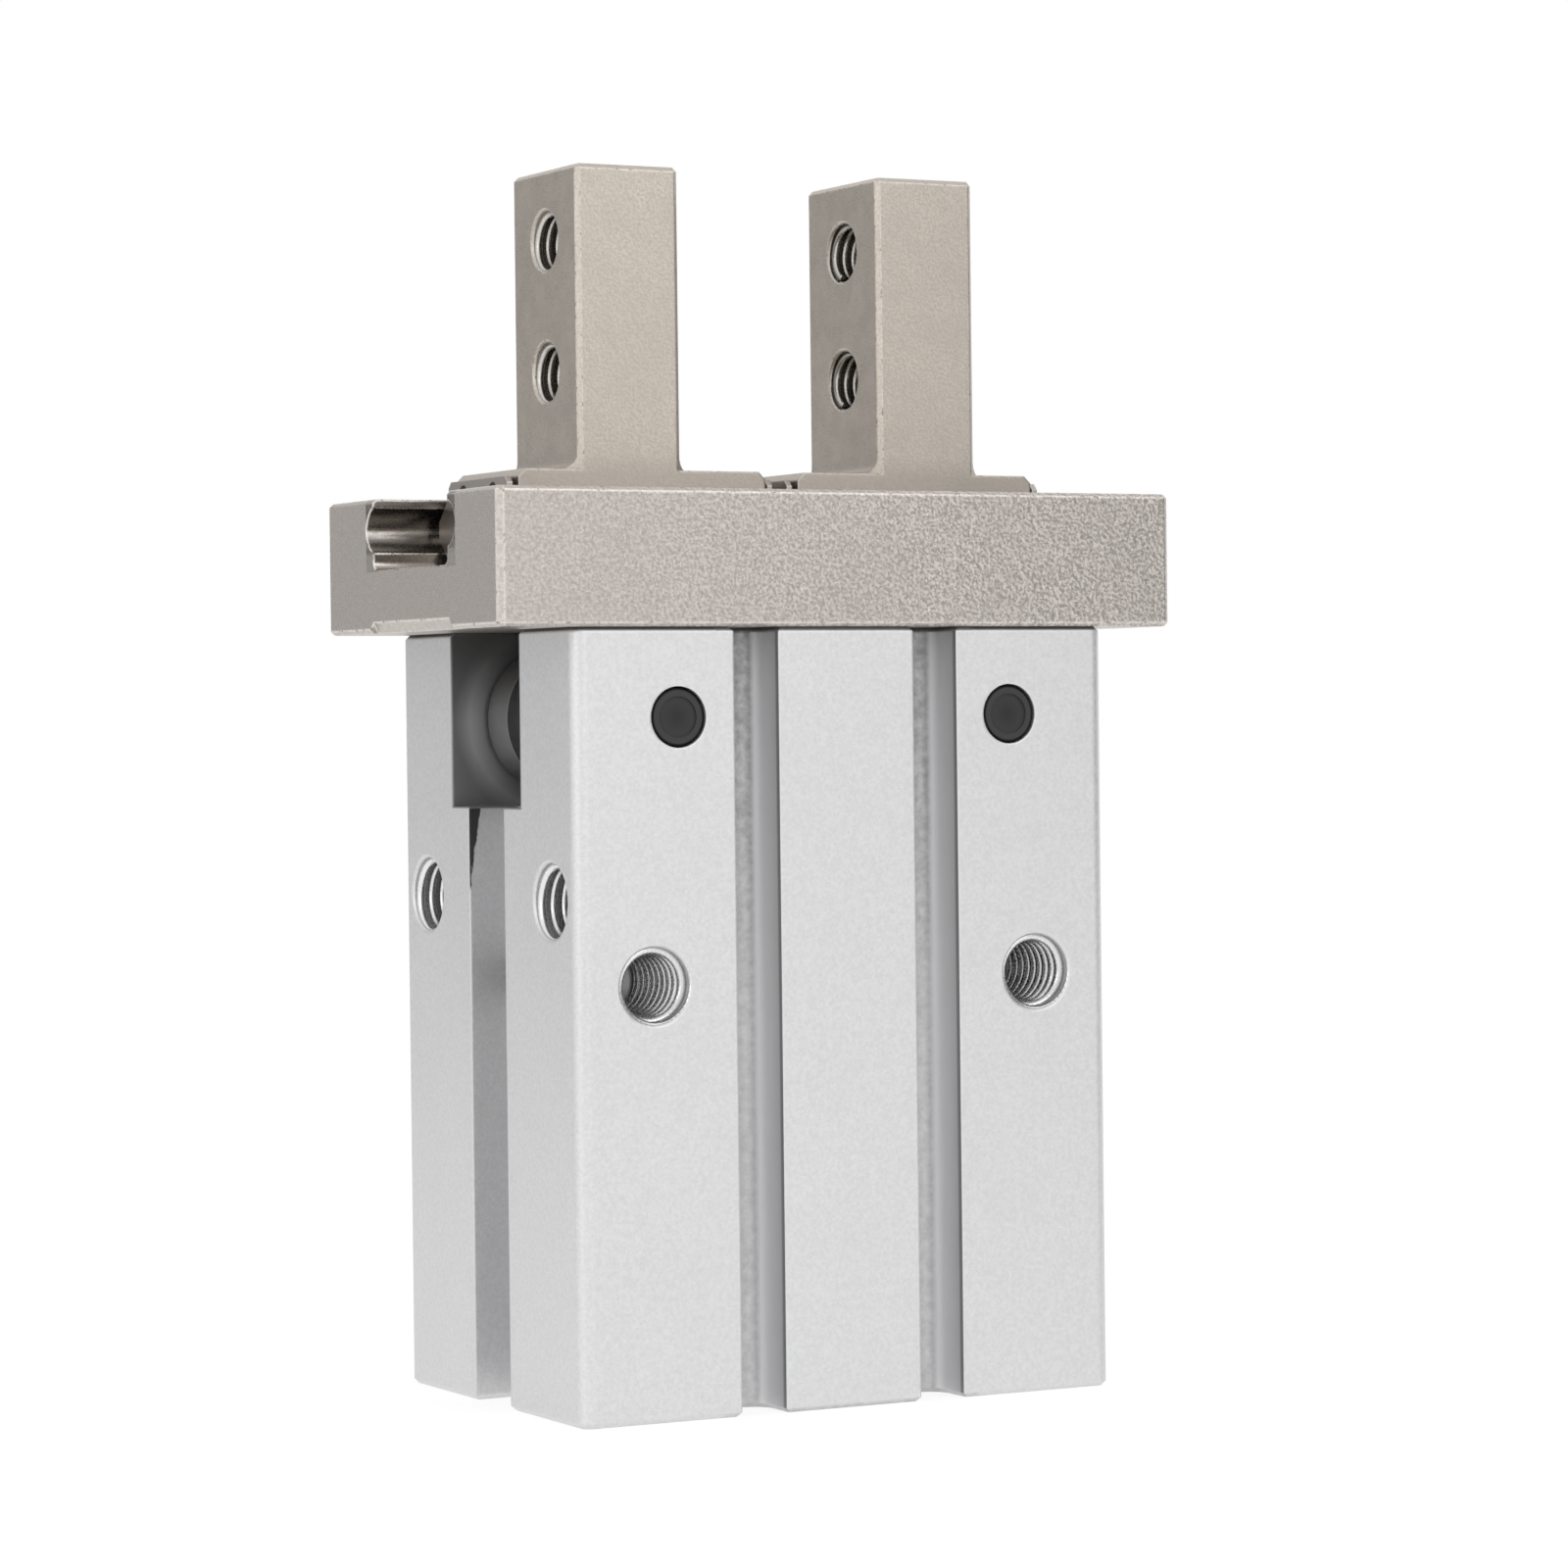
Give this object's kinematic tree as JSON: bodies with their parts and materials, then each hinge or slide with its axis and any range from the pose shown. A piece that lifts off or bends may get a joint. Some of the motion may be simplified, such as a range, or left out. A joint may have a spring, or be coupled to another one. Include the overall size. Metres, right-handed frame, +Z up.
{
  "type": "pneumatic parallel gripper",
  "caption": "Lever-driven parallel gripper: grooved aluminium cylinder body, steel ball guide rail across the top and square tapped fingers that slide apart.",
  "frame": {"origin": "centre of the housing's bottom face", "axes": "+X is the right finger's opening travel, +Y points to the rear face, +Z up to the finger tips"},
  "size_m": [0.0502, 0.028, 0.0823],
  "materials": {
    "anodised_aluminium": "fine satin clear anodising over a bead-blasted skin",
    "cap_aluminium": "turned, clear anodised",
    "piston_aluminium": "turned",
    "blasted_rail_steel": "hardened stainless, coarse blasted long faces and ground ends",
    "finger_steel": "hardened stainless, fine blasted",
    "stopper_steel": "stamped stainless sheet",
    "plain_steel": "ground",
    "bearing_steel": "polished",
    "lever_steel": "sintered and oiled, dark grey",
    "screw_steel": "black oxide",
    "spring_steel": "phosphated spring steel",
    "dark_plug": "satin black",
    "seal_rubber": "moulded nitrile rubber",
    "magnet_rubber": "rubber-bonded magnet",
    "bearing_bronze": "oil-filled sintered bronze"
  },
  "bodies": {
    "housing_unit": {"housing": "anodised_aluminium", "guide_rail": "blasted_rail_steel", "guide_screws": "screw_steel", "end_cap": "cap_aluminium", "cap_oring": "seal_rubber", "retaining_ring": "spring_steel", "rod_bushing": "bearing_bronze", "rod_seal": "seal_rubber", "seal_retainer": "plain_steel", "lower_damper": "seal_rubber", "upper_damper": "seal_rubber", "lever_shaft_left": "plain_steel", "lever_shaft_right": "plain_steel", "shaft_plug_front_left": "dark_plug", "shaft_plug_front_right": "dark_plug", "shaft_plug_rear_left": "dark_plug", "shaft_plug_rear_right": "dark_plug"},
    "piston_unit": {"piston": "piston_aluminium", "piston_rod": "plain_steel", "piston_bolt": "screw_steel", "piston_seal": "seal_rubber", "magnet_ring": "magnet_rubber"},
    "lever_unit_left": {"lever_left": "lever_steel", "lever_pins_left": "bearing_steel", "lever_rollers_left": "bearing_steel"},
    "finger_unit_left": {"finger_left": "finger_steel", "outer_stopper_left": "stopper_steel", "inner_stopper_left": "stopper_steel", "stopper_screws_left": "screw_steel"},
    "ball_rows_left": {"balls_front_left": "bearing_steel", "balls_rear_left": "bearing_steel"},
    "lever_unit_right": {"lever_right": "lever_steel", "lever_pins_right": "bearing_steel", "lever_rollers_right": "bearing_steel"},
    "finger_unit_right": {"finger_right": "finger_steel", "outer_stopper_right": "stopper_steel", "inner_stopper_right": "stopper_steel", "stopper_screws_right": "screw_steel"},
    "ball_rows_right": {"balls_front_right": "bearing_steel", "balls_rear_right": "bearing_steel"}
  },
  "joints": [
    {"name": "piston_slide", "type": "slide", "parent": "housing_unit", "child": "piston_unit", "axis": [0, 0, 1], "range_m": [0, 0.00319]},
    {"name": "lever_swing_left", "type": "hinge", "parent": "housing_unit", "child": "lever_unit_left", "pos_m": [-0.0124, 0, 0.04565], "axis": [0, -1, 0], "range_deg": [0, 22.44]},
    {"name": "finger_slide_left", "type": "slide", "parent": "housing_unit", "child": "finger_unit_left", "axis": [-1, 0, 0], "range_m": [0, 0.005]},
    {"name": "ball_roll_left", "type": "slide", "parent": "housing_unit", "child": "ball_rows_left", "axis": [-1, 0, 0], "range_m": [0, 0.0025]},
    {"name": "lever_swing_right", "type": "hinge", "parent": "housing_unit", "child": "lever_unit_right", "pos_m": [0.0124, 0, 0.04565], "axis": [0, 1, 0], "range_deg": [0, 22.44]},
    {"name": "finger_slide_right", "type": "slide", "parent": "housing_unit", "child": "finger_unit_right", "axis": [1, 0, 0], "range_m": [0, 0.005]},
    {"name": "ball_roll_right", "type": "slide", "parent": "housing_unit", "child": "ball_rows_right", "axis": [1, 0, 0], "range_m": [0, 0.0025]}
  ],
  "couplings": [
    {"joint": "lever_swing_left", "follows": "piston_slide", "rad_per_m": 122.73},
    {"joint": "finger_slide_left", "follows": "piston_slide", "ratio": 1.5671},
    {"joint": "ball_roll_left", "follows": "piston_slide", "ratio": 0.78354},
    {"joint": "lever_swing_right", "follows": "piston_slide", "rad_per_m": 122.73},
    {"joint": "finger_slide_right", "follows": "piston_slide", "ratio": 1.5671},
    {"joint": "ball_roll_right", "follows": "piston_slide", "ratio": 0.78354}
  ]
}
